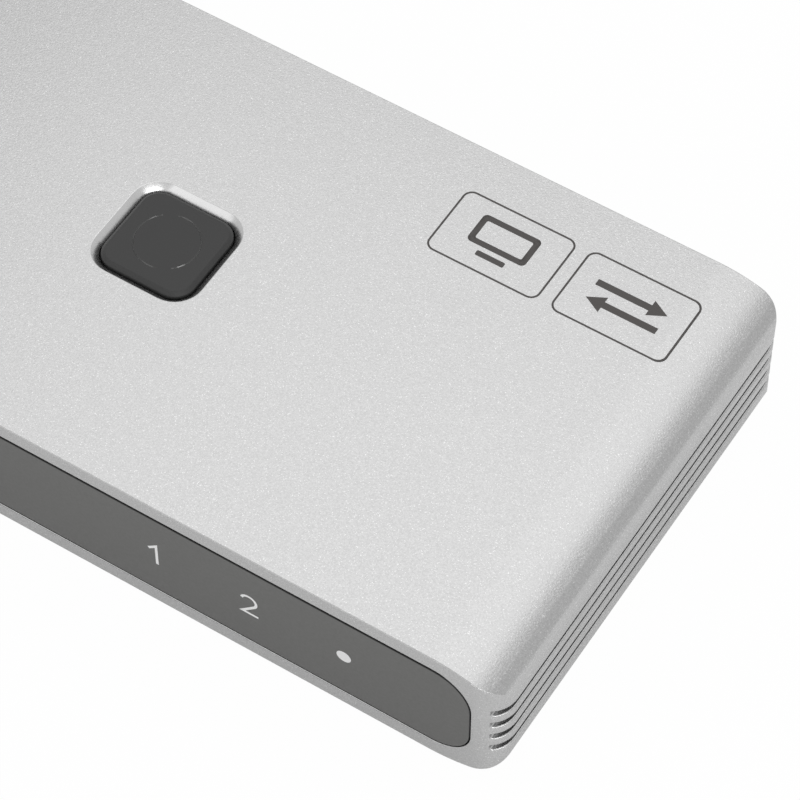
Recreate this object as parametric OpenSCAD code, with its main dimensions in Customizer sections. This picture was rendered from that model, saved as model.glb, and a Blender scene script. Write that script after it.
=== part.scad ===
// HDMI switch box: an extruded sleeve closed by a front panel and a rear panel with sockets.
// A circuit board slides into rails inside it, and one push button works a tactile switch on the board.
// Sizes are in millimetres. The front looks towards -Y, and the feet stand on Z = 0.

/* [Sleeve] */
// Width of the sleeve
body_w = 102.6; // [94:0.2:140]
// Depth of the sleeve
body_d = 50; // [48:0.5:70]
// Height of the sleeve without its feet
body_h = 15.3; // [14.8:0.1:20]
// Thickness of the top and bottom walls
wall_t = 1.8; // [1.4:0.1:2.2]
// Thickness of the side walls
side_t = 3; // [2.2:0.1:4]
// Width over which a long outer edge rounds off
edge_reach = 7.4; // [5:0.1:9]
// Height over which a long outer edge rounds off
edge_fall = 3.45; // [3:0.05:4]
// Radius of a long outer edge where it meets the side
edge_r = 2.4; // [1.5:0.1:2.8]
// Radius of the upright outer corners
corner_r = 2.8; // [1:0.1:5]
// Radius of the corners of both mouths
mouth_r = 4; // [2:0.1:5]

/* [Side grooves] */
// Number of grooves along each side
groove_count = 4; // [1:1:4]
// Distance from one groove to the next
groove_pitch = 1.89; // [1.4:0.01:2]
// Height of a groove
groove_h = 0.8; // [0.5:0.05:1.2]
// Depth of a groove
groove_depth = 1.35; // [0.5:0.05:1.6]

/* [Button] */
// Place of the button across the width
button_x = 0; // [-5:0.5:5]
// Place of the button along the depth
button_y = 0; // [-5:0.5:5]
// Side of the square opening in the top wall
opening_w = 10.2; // [8:0.1:14]
// Radius of the opening's corners
opening_r = 2.15; // [1.2:0.05:3]
// Width of the chamfer around the opening
opening_chamfer = 0.75; // [0.2:0.05:1]
// Gap between the cap and the opening
cap_gap = 0.15; // [0.1:0.05:0.4]
// Depth of the cap's top below the sleeve's top
cap_sink = 0.1; // [0:0.05:0.6]
// Width of the bevel around the cap's top
cap_bevel_w = 0.4; // [0.2:0.05:0.6]
// Height of the bevel around the cap's top
cap_bevel_h = 0.35; // [0.2:0.05:0.6]
// Thickness of the cap's top plate
cap_top_t = 1.2; // [0.9:0.1:1.6]
// Thickness of the cap's skirt
cap_skirt_t = 1; // [0.6:0.1:1.5]
// Reach of the cap's flange under the top wall
flange_lap = 1; // [0.5:0.1:2]
// Thickness of the cap's flange
flange_t = 0.8; // [0.5:0.1:1.2]
// Gap between the flange and the top wall
flange_gap = 0.1; // [0.05:0.05:0.3]
// Diameter of the stem under the cap
stem_d = 3; // [2:0.1:3.2]
// Diameter of the ring engraved in the cap
ring_d = 6.3; // [4:0.1:7]
// Width of the engraved line
ring_line = 0.15; // [0.1:0.05:0.6]
// Depth of the engraved line
ring_depth = 0.06; // [0.05:0.01:0.3]
// Angle left plain between the two halves of the ring
ring_break = 26; // [10:1:60]
// Angle from the width axis to the first plain stretch
ring_turn = 119; // [0:1:180]
// Travel of the button
button_travel = 0.3; // [0.15:0.05:0.35]

/* [Front] */
// Thickness of the smoked front panel
panel_t = 2; // [1:0.1:3]
// Depth of the front panel's face in the mouth
panel_recess = 0.02; // [0:0.01:0.6]
// Gap between a panel and the mouth around it
panel_gap = 0.2; // [0.05:0.01:0.3]
// Thickness of the tape behind the front panel
tape_t = 0.15; // [0.1:0.05:0.4]
// Width of the tape's border
tape_w = 1.6; // [1:0.1:3]
// Thickness of the frame that carries the front panel
frame_t = 2.2; // [1.8:0.1:4]
// Place of the first indicator across the width
mark_x = 15.3; // [8:0.1:17]
// Distance from one indicator to the next
mark_pitch = 10; // [7:0.1:10.5]
// Width of the light well behind an indicator
well_w = 5; // [3.5:0.1:6]
// Height of the light well behind an indicator
well_h = 6; // [5:0.1:7]

/* [Rear] */
// Thickness of the rear panel
rear_t = 2.2; // [1.8:0.1:3]
// Depth of the rear panel's face in the mouth
rear_recess = 0.3; // [0:0.05:1]
// Gap between a socket and its cut-out
socket_gap = 0.2; // [0.1:0.05:0.4]
// Clear space between neighbouring sockets
socket_space = 7.6; // [5:0.1:9]

/* [Circuit board] */
// Thickness of the board
board_t = 1.6; // [1:0.1:2]
// Height of the board above the sleeve's floor
board_lift = 2; // [1.6:0.1:2.2]
// Gap between the board's long edges and the wall beside them
board_side_gap = 0.5; // [0.3:0.1:1]
// Gap between the board's ends and the frame or rear panel
board_end_gap = 0.3; // [0.1:0.05:0.8]
// Reach of the rails over the board's edge
rail_lap = 1.3; // [0.6:0.1:2]
// Thickness of the upper rail
rail_t = 0.9; // [0.6:0.1:1.2]
// Gap between the board and the upper rail
rail_gap = 0.15; // [0.05:0.05:0.3]

/* [Screws] */
// Diameter of the screws
screw_d = 1.9; // [1.5:0.1:2.2]
// Length of the screws under the head
screw_len = 6; // [4:0.5:10]
// Diameter of the screw heads
head_d = 3.6; // [3:0.1:3.8]
// Height of the screw heads
head_h = 1.1; // [0.8:0.1:1.2]
// Depth of the head below the face around it
head_sink = 0.1; // [0:0.05:0.3]
// Clearance on the diameter of a screw's holes
screw_gap = 0.12; // [0.1:0.01:0.4]
// Outer diameter of the sleeve's screw channels
channel_d = 4.4; // [3.6:0.1:4.8]
// Distance of a screw channel's centre from the side wall
channel_inset = 2.5; // [2.3:0.1:3.5]
// Thickness of the web that ties a screw channel to the side wall
channel_web = 2.4; // [1.6:0.1:3]
// Height of a screw channel's centre above the board
channel_rise = 4; // [3.6:0.1:4.6]
// Width of the cross recess in a screw head
drive_w = 0.5; // [0.3:0.05:0.7]
// Length of the cross recess
drive_l = 2; // [1.4:0.1:2.6]
// Depth of the cross recess
drive_h = 0.6; // [0.3:0.05:0.7]

/* [HDMI sockets] */
// Width of the socket's opening
hdmi_w = 14; // [13.5:0.1:14.5]
// Height of the socket's opening
hdmi_h = 4.55; // [4.3:0.05:4.8]
// Width of the slanted lower corners
hdmi_cut_w = 1.7; // [1:0.1:2.2]
// Height of the slanted lower corners
hdmi_cut_h = 1.6; // [1:0.1:2.2]
// Thickness of the steel shell
shell_t = 0.4; // [0.25:0.05:0.6]
// Length of the socket
hdmi_len = 11.8; // [10:0.1:13]
// Length of the insert's block at the back of the socket
hdmi_block = 4; // [3:0.1:5]
// Length of the tongue in front of that block
hdmi_tongue_l = 6.2; // [4:0.1:6.8]
// Width of the tongue
hdmi_tongue_w = 11.2; // [10.6:0.1:11.8]
// Thickness of the tongue
hdmi_tongue_t = 1.1; // [0.8:0.1:1.4]
// Distance between neighbouring contacts
hdmi_pitch = 1; // [0.9:0.01:1.05]
// Width of a contact
hdmi_contact_w = 0.45; // [0.3:0.05:0.6]
// Width of the shell's solder tabs
tab_w = 1.2; // [0.8:0.1:1.6]
// Distance of the first solder tab from the socket's back
tab_setback = 2.4; // [1.5:0.1:3]
// Distance from the first solder tab to the second
tab_step = 3.6; // [2.5:0.1:4.5]
// Reach of the solder tabs below the board
tab_reach = 0.5; // [0.2:0.1:1]
// Gap between a solder tab and its slot
tab_gap = 0.15; // [0.1:0.05:0.3]
// Gap between an insert and the shell around it
insert_gap = 0.03; // [0.02:0.01:0.1]

/* [Power socket] */
// Outer width of the power socket
usb_w = 8.94; // [8.6:0.02:9.2]
// Outer height of the power socket
usb_h = 3.26; // [3:0.02:3.5]
// Thickness of its shell
usb_shell_t = 0.3; // [0.2:0.05:0.4]
// Length of the power socket
usb_len = 7.4; // [6:0.1:9]
// Length of the insert's block at the back
usb_block = 2; // [1.5:0.1:3]
// Length of the tongue in front of that block
usb_tongue_l = 4.4; // [3:0.1:4.8]
// Width of the tongue
usb_tongue_w = 6.7; // [6.4:0.1:7]
// Thickness of the tongue
usb_tongue_t = 0.7; // [0.5:0.05:0.9]
// Distance between neighbouring contacts
usb_pitch = 0.5; // [0.45:0.01:0.52]
// Width of a contact
usb_contact_w = 0.25; // [0.15:0.05:0.3]
// Thickness of all contacts
contact_t = 0.12; // [0.08:0.01:0.2]
// Length of the tongue left bare in front of its contacts
contact_setback = 0.5; // [0.2:0.1:1]

/* [Tactile switch] */
// Side of the switch's base
switch_w = 6; // [5:0.1:6.5]
// Height of the switch's base
switch_base_h = 2.8; // [2.6:0.1:3.4]
// Height of the switch from the board to the plunger's top
switch_h = 7; // [6:0.1:7.2]
// Diameter of the plunger
plunger_d = 3.3; // [3:0.1:3.5]
// Diameter of the plunger's foot
plunger_foot_d = 4.2; // [4:0.1:4.6]
// Height of the plunger's foot
plunger_foot_h = 0.6; // [0.4:0.05:0.8]
// Gap around the plunger and its foot
plunger_gap = 0.1; // [0.05:0.05:0.2]
// Thickness of the switch's steel cover
cover_t = 0.3; // [0.2:0.05:0.5]
// Height of the snap dome when it is pressed flat
dome_flat_h = 0.3; // [0.25:0.05:0.4]
// Thickness of the snap dome
dome_t = 0.1; // [0.06:0.02:0.16]
// Diameter of the flat top of the snap dome
dome_top_d = 1.2; // [0.8:0.1:2]
// Length of a terminal outside the base
terminal_l = 1.1; // [0.6:0.1:1.6]
// Width of a terminal
terminal_w = 0.7; // [0.4:0.1:1]
// Thickness of a terminal
terminal_t = 0.2; // [0.1:0.05:0.3]
// Distance between the two terminals on one side
terminal_pitch = 4.5; // [3.6:0.1:4.8]

/* [Parts on the board] */
// Width of an indicator lamp
lamp_w = 3; // [2:0.1:3.4]
// Depth of an indicator lamp
lamp_d = 1.4; // [1:0.1:2]
// Height of an indicator lamp
lamp_h = 2; // [1.4:0.1:2.4]
// Diameter of a lamp's lens
lens_d = 1.5; // [1:0.1:1.8]
// Side of the switching chip
chip_w = 10; // [7:0.5:11]
// Height of the switching chip
chip_h = 1; // [0.8:0.1:1.4]
// Distance of the switching chip's centre from the button's centre
chip_offset = 15; // [14:0.5:18]
// Width of the regulator chip
regulator_w = 5; // [4:0.1:6]
// Depth of the regulator chip
regulator_d = 4; // [3:0.1:5]
// Height of the regulator chip
regulator_h = 1.5; // [1:0.1:1.8]
// Side of the power inductor
inductor_w = 5; // [4:0.1:6]
// Height of the power inductor
inductor_h = 2.5; // [1.5:0.1:3]
// Width of the crystal
crystal_w = 3.2; // [2.5:0.1:5]
// Depth of the crystal
crystal_d = 2.5; // [2:0.1:3.2]
// Height of the crystal
crystal_h = 0.8; // [0.6:0.1:1]
// Width of a surge protection array
surge_w = 2.6; // [2:0.1:3.2]
// Depth of a surge protection array
surge_d = 1.2; // [0.8:0.1:1.6]
// Height of a surge protection array
surge_h = 0.6; // [0.5:0.1:0.8]
// Length of a capacitor or resistor
passive_l = 1.6; // [1:0.1:2]
// Width of a capacitor or resistor
passive_w = 0.8; // [0.5:0.1:1]
// Height of a capacitor
capacitor_h = 0.8; // [0.5:0.1:1]
// Height of a resistor
resistor_h = 0.5; // [0.3:0.05:0.6]
// Number of capacitors along each side of the switching chip
capacitor_count = 4; // [2:1:5]
// Clear space between neighbouring parts on the board
part_space = 1.4; // [1:0.1:1.6]

/* [Feet] */
// Diameter of a rubber foot
foot_d = 8; // [5:0.5:12]
// Height of a rubber foot
foot_h = 0.8; // [0.5:0.1:3]
// Distance of a foot's centre from the sleeve's sides and ends
foot_inset = 8.5; // [7:0.5:14]

/* [Hidden] */
$fn = 64;
// Overlap of cutting shapes past the faces they cut
cut = 1;
// Depth to which the rails are rooted in the sleeve's walls
root = 0.3;
// Excess of the plan outline on each side, so that its corners cross the rounded edges cleanly
plan_excess = 0.02;
// Least radius of a mouth outline that is drawn in
least_r = 0.2;
// Lap of the tighter arc of a long edge over the wide one, so that the two cross cleanly
edge_lap = 0.002;
// Number of HDMI sockets
hdmi_count = 3;
// Contacts above and below the tongue of an HDMI socket
hdmi_upper_contacts = 10;
hdmi_lower_contacts = 9;
// Contacts on each face of the power socket's tongue
usb_row_contacts = 12;
// Number of indicators
mark_count = 3;

// Levels
z_top = foot_h + body_h;
z_mid = foot_h + body_h / 2;
z_floor = foot_h + wall_t;
z_ceiling = z_top - wall_t;
z_board = z_floor + board_lift;
z_parts = z_board + board_t;
z_channel = z_parts + channel_rise;

// Long edges: a wide arc from the top or the bottom runs into a tighter arc at the side
edge_centre_x = edge_reach - edge_r;
join_r = edge_r - edge_lap;
shoulder_r = (pow(edge_centre_x, 2) / (edge_fall - join_r) + join_r + edge_fall) / 2;
shoulder_lean = [edge_centre_x, shoulder_r - edge_fall] / (shoulder_r - join_r);

// Cavity and the stations along the depth
cavity_w = body_w - 2 * side_t;
cavity_h = body_h - 2 * wall_t;
front_y = -body_d / 2;
panel_y = front_y + panel_recess;
tape_y = panel_y + panel_t;
frame_y = tape_y + tape_t;
frame_back_y = frame_y + frame_t;
rear_y = body_d / 2 - rear_recess;
rear_inner_y = rear_y - rear_t;

// Board and rails: the board's underside meets the wall's rounded lower corner
corner_drop = max(mouth_r - board_lift, 0);
board_wall_x = cavity_w / 2 - mouth_r + sqrt(mouth_r * mouth_r - corner_drop * corner_drop);
board_w = 2 * (board_wall_x - board_side_gap);
board_y = frame_back_y + board_end_gap;
board_end_y = rear_inner_y - board_end_gap;
rail_x = board_w / 2 - rail_lap;
rail_outer_x = cavity_w / 2 + root;
channel_x = cavity_w / 2 - channel_inset;
channel_bore = screw_d + screw_gap;

// Sockets in a row centred on the rear panel: power, input 1, input 2, output
hdmi_outer_w = hdmi_w + 2 * shell_t;
hdmi_step = hdmi_outer_w + socket_space;
row_w = usb_w + hdmi_count * hdmi_step;
usb_x = -row_w / 2 + usb_w / 2;
hdmi_first_x = -row_w / 2 + usb_w + socket_space + hdmi_outer_w / 2;
hdmi_back_y = rear_y - hdmi_len;
usb_back_y = rear_y - usb_len;
hdmi_tab_y = [hdmi_back_y + tab_setback, hdmi_back_y + tab_setback + tab_step];
usb_tab_y = [usb_back_y + tab_setback];
hdmi_z = z_parts + shell_t;
hdmi_mid_z = hdmi_z + hdmi_h / 2;
usb_mid_z = z_parts + usb_h / 2;

// Button
cap_w = opening_w - 2 * cap_gap;
cap_r = opening_r - cap_gap;
cap_top_z = z_top - cap_sink;
flange_top_z = z_ceiling - flange_gap;
flange_z = flange_top_z - flange_t;
flange_w = cap_w + 2 * cap_gap + 2 * flange_lap;
plunger_top_z = z_parts + switch_h;

// Tactile switch
dome_h = button_travel + dome_flat_h;
well_floor_h = switch_base_h - plunger_foot_h - plunger_gap - dome_h - plunger_gap;
dome_z = z_parts + well_floor_h;
plunger_foot_z = dome_z + dome_h + plunger_gap;
cover_z = z_parts + switch_base_h;
switch_well_d = plunger_foot_d + 2 * plunger_gap;
plunger_hole_d = plunger_d + 2 * plunger_gap;

// Parts on the board
chip_x = button_x + chip_offset;
crystal_x = chip_x + chip_w / 2 + 2 * part_space + passive_w + crystal_w / 2;
surge_y = hdmi_back_y - part_space - surge_d / 2;
regulator_y = usb_back_y - part_space - regulator_d / 2;
inductor_y = regulator_y - regulator_d / 2 - part_space - inductor_w / 2;
lamp_y = board_y;
resistor_y = lamp_y + lamp_d + part_space + passive_w / 2;

// Colours
aluminium = [0.80, 0.81, 0.82];
smoked = [0.30, 0.30, 0.30];
dark_plastic = [0.20, 0.20, 0.21];
black_plastic = [0.08, 0.08, 0.09];
tape_black = [0.12, 0.12, 0.12];
steel = [0.72, 0.73, 0.75];
gold = [0.83, 0.68, 0.30];
board_green = [0.07, 0.28, 0.18];
lamp_white = [0.93, 0.93, 0.90];
chip_black = [0.11, 0.11, 0.12];
ferrite = [0.25, 0.25, 0.27];
capacitor_tan = [0.66, 0.53, 0.38];
rubber = [0.15, 0.15, 0.15];

// Place of HDMI socket number i across the width
function hdmi_x(i) = hdmi_first_x + i * hdmi_step;

// Place of indicator number i across the width
function indicator_x(i) = mark_x + i * mark_pitch;

// Rounded rectangle about the origin
module rounded_rect(w, h, r) {
    square([w - 2 * r, h], center = true);
    square([w, h - 2 * r], center = true);
    for (sx = [-1, 1], sy = [-1, 1])
        translate([sx * (w / 2 - r), sy * (h / 2 - r)]) circle(r);
}

// Outline in X and Z, extruded along the depth from y0 to y1
module along_depth(y0, y1) {
    translate([0, y1, 0]) rotate([90, 0, 0]) linear_extrude(y1 - y0) children();
}

// Outline of both mouths, drawn in by a gap
module mouth_outline(gap) {
    translate([0, z_mid])
        rounded_rect(cavity_w - 2 * gap, cavity_h - 2 * gap, max(mouth_r - gap, least_r));
}

// Block centred in X and Y, standing on height z
module standing_block(x, y, z, size) {
    translate([x - size[0] / 2, y - size[1] / 2, z]) cube(size);
}

// Children on the left and right
module both_sides(x) {
    for (side = [-1, 1]) translate([side * x, 0, 0]) children();
}

// Round hole along the depth
module depth_bore(d, y0, y1) {
    translate([0, y0, 0]) rotate([-90, 0, 0]) cylinder(d = d, h = y1 - y0);
}

// Square block with rounded corners that grows on every side as it rises
module sloped_block(w, r, h, growth) {
    straight = w - 2 * r;
    low = w / 2;
    high = low + growth;
    slope = [[-low, 0], [low, 0], [high, h], [-high, h]];
    for (turn = [0, 90])
        rotate(turn) along_depth(-straight / 2, straight / 2) polygon(slope);
    for (sx = [-1, 1], sy = [-1, 1])
        translate([sx * straight / 2, sy * straight / 2, 0]) cylinder(r1 = r, r2 = r + growth, h = h);
}

// Solid with chamfered sides that widens the button's opening at the top
module opening_flare() {
    depth = opening_chamfer + cut;
    sloped_block(opening_w, opening_r, depth, depth);
}

// Long edge in the first quarter of the sleeve's outline, from where it leaves the flat top and the side
module edge_outline() {
    tip = [edge_centre_x, 0] + shoulder_lean * (edge_r + cut);
    translate([edge_centre_x, 0]) circle(edge_r);
    intersection() {
        translate([0, edge_fall - shoulder_r]) circle(shoulder_r, $fn = 128);
        polygon([[0, 0], [edge_centre_x, 0], tip, [0, edge_fall + cut]]);
    }
}

// Outline of the sleeve in X and Z, about its own centre
module sleeve_outline() {
    square([body_w - 2 * edge_reach, body_h], center = true);
    square([body_w, body_h - 2 * edge_fall], center = true);
    for (flip_x = [0, 1], flip_z = [0, 1])
        mirror([flip_x, 0]) mirror([0, flip_z])
            translate([body_w / 2 - edge_reach, body_h / 2 - edge_fall]) edge_outline();
}

module sleeve_shell() {
    intersection() {
        along_depth(front_y, -front_y) translate([0, z_mid]) sleeve_outline();
        translate([0, 0, foot_h - cut]) linear_extrude(body_h + 2 * cut)
            rounded_rect(body_w + 2 * plan_excess, body_d, corner_r);
    }
}

// Ledge and upper rail for one edge of the board, and the screw channel above them
module rail_outline() {
    rail_w = rail_outer_x - rail_x;
    translate([rail_x, z_floor - root]) square([rail_w, board_lift + root]);
    translate([rail_x, z_parts + rail_gap]) square([rail_w, rail_t]);
    translate([channel_x, z_channel]) circle(d = channel_d);
    translate([channel_x, z_channel - channel_web / 2]) square([rail_outer_x - channel_x, channel_web]);
}

module side_grooves() {
    first = z_mid - groove_pitch * (groove_count - 1) / 2;
    for (i = [0 : groove_count - 1])
        translate([body_w / 2 - groove_depth, front_y - cut, first + i * groove_pitch - groove_h / 2])
            cube([groove_depth + cut, body_d + 2 * cut, groove_h]);
}

module housing() {
    color(aluminium) difference() {
        union() {
            difference() {
                sleeve_shell();
                along_depth(front_y - cut, -front_y + cut) mouth_outline(0);
            }
            for (side = [0, 1])
                mirror([side, 0, 0]) along_depth(frame_back_y, rear_inner_y) rail_outline();
        }
        for (side = [0, 1]) mirror([side, 0, 0]) side_grooves();
        both_sides(channel_x) translate([0, 0, z_channel])
            depth_bore(channel_bore, frame_back_y - cut, rear_inner_y + cut);
        translate([button_x, button_y, z_ceiling - cut]) linear_extrude(wall_t + 2 * cut)
            rounded_rect(opening_w, opening_w, opening_r);
        translate([button_x, button_y, z_top - opening_chamfer]) opening_flare();
    }
}

module front_panel() {
    color(smoked) along_depth(panel_y, tape_y) mouth_outline(panel_gap);
}

module panel_tape() {
    color(tape_black) along_depth(tape_y, frame_y) difference() {
        mouth_outline(2 * panel_gap);
        mouth_outline(2 * panel_gap + tape_w);
    }
}

// Counterbored screw holes on the left and right, through a plate of thickness t with its face at Y = 0
module screw_holes(t) {
    both_sides(channel_x) translate([0, 0, z_channel]) {
        depth_bore(channel_bore, -cut, t + cut);
        depth_bore(head_d + screw_gap, -cut, head_sink + head_h);
    }
}

module front_frame() {
    color(black_plastic) difference() {
        along_depth(frame_y, frame_back_y) mouth_outline(panel_gap);
        for (i = [0 : mark_count - 1])
            standing_block(indicator_x(i), (frame_y + frame_back_y) / 2, z_mid - well_h / 2,
                [well_w, frame_t + 2 * cut, well_h]);
        translate([0, frame_y, 0]) screw_holes(frame_t);
    }
}

// Screw pointing along +Y with the top of its head at Y = 0
module screw() {
    difference() {
        union() {
            depth_bore(head_d, 0, head_h);
            depth_bore(screw_d, 0, head_h + screw_len);
        }
        for (turn = [0, 90])
            rotate([0, turn, 0]) translate([-drive_l / 2, -cut, -drive_w / 2])
                cube([drive_l, drive_h + cut, drive_w]);
    }
}

// Screws on the left and right, sunk in a plate with its face at Y = 0
module screw_pair() {
    both_sides(channel_x) translate([0, head_sink, z_channel]) screw();
}

module front_screws() {
    color(steel) translate([0, frame_y, 0]) screw_pair();
}

module rear_screws() {
    color(black_plastic) translate([0, rear_y, 0]) mirror([0, 1, 0]) screw_pair();
}

// Outline of an HDMI opening, grown by g on every side, with its lower edge at height 0
module hdmi_outline(g) {
    half = hdmi_w / 2;
    slant = norm([hdmi_cut_w, hdmi_cut_h]);
    nx = hdmi_cut_h / slant;
    nz = -hdmi_cut_w / slant;
    low_x = half - hdmi_cut_w + g * (1 + nz) / nx;
    side_z = (g - nx * (hdmi_cut_w + g)) / nz;
    polygon([[-low_x, -g], [low_x, -g], [half + g, side_z], [half + g, hdmi_h + g],
        [-half - g, hdmi_h + g], [-half - g, side_z]]);
}

// Outline of the power socket with round ends, drawn in by a gap, about its own centre
module usb_outline(gap) {
    straight = usb_w - usb_h;
    square([straight, usb_h - 2 * gap], center = true);
    for (side = [-1, 1]) translate([side * straight / 2, 0]) circle(d = usb_h - 2 * gap);
}

module rear_panel() {
    color(black_plastic) difference() {
        along_depth(rear_inner_y, rear_y) mouth_outline(panel_gap);
        along_depth(rear_inner_y - cut, rear_y + cut) {
            for (i = [0 : hdmi_count - 1])
                translate([hdmi_x(i), hdmi_z]) hdmi_outline(shell_t + socket_gap);
            translate([usb_x, usb_mid_z]) usb_outline(-socket_gap);
        }
        translate([0, rear_y, 0]) mirror([0, 1, 0]) screw_holes(rear_t);
    }
}

// Solder tabs on both sides of a socket at the stations ys, each reaching down from height top
module solder_tabs(half, t, ys, top, gap) {
    for (y = ys, side = [-1, 1])
        standing_block(side * (half - t / 2), y, z_board - tab_reach - gap,
            [t + 2 * gap, tab_w + 2 * gap, top - z_board + tab_reach + 2 * gap]);
}

module hdmi_tabs(gap) {
    solder_tabs(hdmi_outer_w / 2, shell_t, hdmi_tab_y, hdmi_mid_z, gap);
}

module usb_tabs(gap) {
    solder_tabs(usb_w / 2, usb_shell_t, usb_tab_y, usb_mid_z, gap);
}

module circuit_board() {
    color(board_green) difference() {
        translate([-board_w / 2, board_y, z_board]) cube([board_w, board_end_y - board_y, board_t]);
        for (i = [0 : hdmi_count - 1]) translate([hdmi_x(i), 0, 0]) hdmi_tabs(tab_gap);
        translate([usb_x, 0, 0]) usb_tabs(tab_gap);
    }
}

module hdmi_shell(i) {
    color(steel) translate([hdmi_x(i), 0, 0]) {
        translate([0, 0, hdmi_z]) difference() {
            along_depth(hdmi_back_y, rear_y) hdmi_outline(shell_t);
            along_depth(hdmi_back_y - cut, rear_y + cut) hdmi_outline(0);
        }
        hdmi_tabs(0);
    }
}

// Tongue of width w and thickness t, about its own centre, reaching l forward from y0
module tongue(w, t, y0, l) {
    along_depth(y0 - root, y0 + l) square([w, t], center = true);
}

module hdmi_insert(i) {
    tongue_y = hdmi_back_y + hdmi_block;
    color(black_plastic) translate([hdmi_x(i), 0, 0]) {
        translate([0, 0, hdmi_z]) along_depth(hdmi_back_y, tongue_y) hdmi_outline(-insert_gap);
        translate([0, 0, hdmi_mid_z]) tongue(hdmi_tongue_w, hdmi_tongue_t, tongue_y, hdmi_tongue_l);
    }
}

// One row of n contacts along a tongue from y0, standing on height z
module contact_row(n, pitch, w, y0, l, z) {
    for (i = [0 : n - 1])
        standing_block((i - (n - 1) / 2) * pitch, y0 + l / 2, z, [w, l, contact_t]);
}

module hdmi_contacts(i) {
    y0 = hdmi_back_y + hdmi_block;
    l = hdmi_tongue_l - contact_setback;
    upper_z = hdmi_mid_z + hdmi_tongue_t / 2;
    lower_z = hdmi_mid_z - hdmi_tongue_t / 2 - contact_t;
    color(gold) translate([hdmi_x(i), 0, 0]) {
        contact_row(hdmi_upper_contacts, hdmi_pitch, hdmi_contact_w, y0, l, upper_z);
        contact_row(hdmi_lower_contacts, hdmi_pitch, hdmi_contact_w, y0, l, lower_z);
    }
}

module hdmi_in_1_shell() { hdmi_shell(0); }
module hdmi_in_1_insert() { hdmi_insert(0); }
module hdmi_in_1_contacts() { hdmi_contacts(0); }
module hdmi_in_2_shell() { hdmi_shell(1); }
module hdmi_in_2_insert() { hdmi_insert(1); }
module hdmi_in_2_contacts() { hdmi_contacts(1); }
module hdmi_out_shell() { hdmi_shell(2); }
module hdmi_out_insert() { hdmi_insert(2); }
module hdmi_out_contacts() { hdmi_contacts(2); }

module power_shell() {
    color(steel) translate([usb_x, 0, 0]) {
        translate([0, 0, usb_mid_z]) difference() {
            along_depth(usb_back_y, rear_y) usb_outline(0);
            along_depth(usb_back_y - cut, rear_y + cut) usb_outline(usb_shell_t);
        }
        usb_tabs(0);
    }
}

module power_insert() {
    tongue_y = usb_back_y + usb_block;
    color(black_plastic) translate([usb_x, 0, usb_mid_z]) {
        along_depth(usb_back_y, tongue_y) usb_outline(usb_shell_t + insert_gap);
        tongue(usb_tongue_w, usb_tongue_t, tongue_y, usb_tongue_l);
    }
}

module power_contacts() {
    y0 = usb_back_y + usb_block;
    l = usb_tongue_l - contact_setback;
    upper_z = usb_mid_z + usb_tongue_t / 2;
    lower_z = usb_mid_z - usb_tongue_t / 2 - contact_t;
    color(gold) translate([usb_x, 0, 0])
        for (z = [lower_z, upper_z]) contact_row(usb_row_contacts, usb_pitch, usb_contact_w, y0, l, z);
}

// Outside of the cap above its flange, with a bevel around the top
module cap_block() {
    bevel_z = cap_top_z - cap_bevel_h;
    translate([0, 0, flange_z]) linear_extrude(bevel_z - flange_z) rounded_rect(cap_w, cap_w, cap_r);
    translate([0, 0, bevel_z]) sloped_block(cap_w, cap_r, cap_bevel_h, -cap_bevel_w);
}

// Half of the ring engraved in the cap
module ring_half() {
    rotate(ring_turn + ring_break / 2) rotate_extrude(angle = 180 - ring_break)
        translate([ring_d / 2 - ring_line / 2, cap_top_z - ring_depth])
            square([ring_line, ring_depth + cut]);
}

module button_cap() {
    inner_w = cap_w - 2 * cap_skirt_t;
    inner_h = cap_top_z - cap_top_t - flange_z;
    color(dark_plastic) translate([button_x, button_y, 0]) {
        difference() {
            union() {
                cap_block();
                translate([0, 0, flange_z]) linear_extrude(flange_t)
                    rounded_rect(flange_w, flange_w, cap_r + flange_lap);
            }
            standing_block(0, 0, flange_z - cut, [inner_w, inner_w, inner_h + cut]);
            for (turn = [0, 180]) rotate(turn) ring_half();
        }
        translate([0, 0, plunger_top_z])
            cylinder(d = stem_d, h = cap_top_z - cap_top_t / 2 - plunger_top_z);
    }
}

module switch_base() {
    color(black_plastic) difference() {
        standing_block(button_x, button_y, z_parts, [switch_w, switch_w, switch_base_h]);
        translate([button_x, button_y, dome_z]) cylinder(d = switch_well_d, h = switch_base_h);
    }
}

module switch_cover() {
    color(steel) difference() {
        standing_block(button_x, button_y, cover_z, [switch_w, switch_w, cover_t]);
        translate([button_x, button_y, cover_z - cut]) cylinder(d = plunger_hole_d, h = cover_t + 2 * cut);
    }
}

module switch_plunger() {
    color(dark_plastic) translate([button_x, button_y, plunger_foot_z]) {
        cylinder(d = plunger_foot_d, h = plunger_foot_h);
        cylinder(d = plunger_d, h = plunger_top_z - plunger_foot_z);
    }
}

module switch_dome() {
    foot_r = plunger_foot_d / 2;
    top_r = dome_top_d / 2;
    color(steel) translate([button_x, button_y, dome_z]) rotate_extrude()
        polygon([[0, dome_h - dome_t], [top_r, dome_h - dome_t], [foot_r - 2 * dome_t, 0], [foot_r, 0],
            [top_r, dome_h], [0, dome_h]]);
}

module switch_terminals() {
    reach = (switch_w + terminal_l) / 2;
    color(steel) for (side = [-1, 1], place = [-1, 1])
        standing_block(button_x + place * terminal_pitch / 2, button_y + side * reach, z_parts,
            [terminal_w, terminal_l, terminal_t]);
}

// Indicator lamp number i, looking forward from the board's front edge
module lamp(i) {
    color(lamp_white) translate([indicator_x(i), lamp_y, z_parts]) {
        standing_block(0, lamp_d / 2, 0, [lamp_w, lamp_d, lamp_h]);
        translate([0, 0, lamp_h / 2]) depth_bore(lens_d, -board_end_gap, lamp_d / 2);
    }
}

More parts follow.
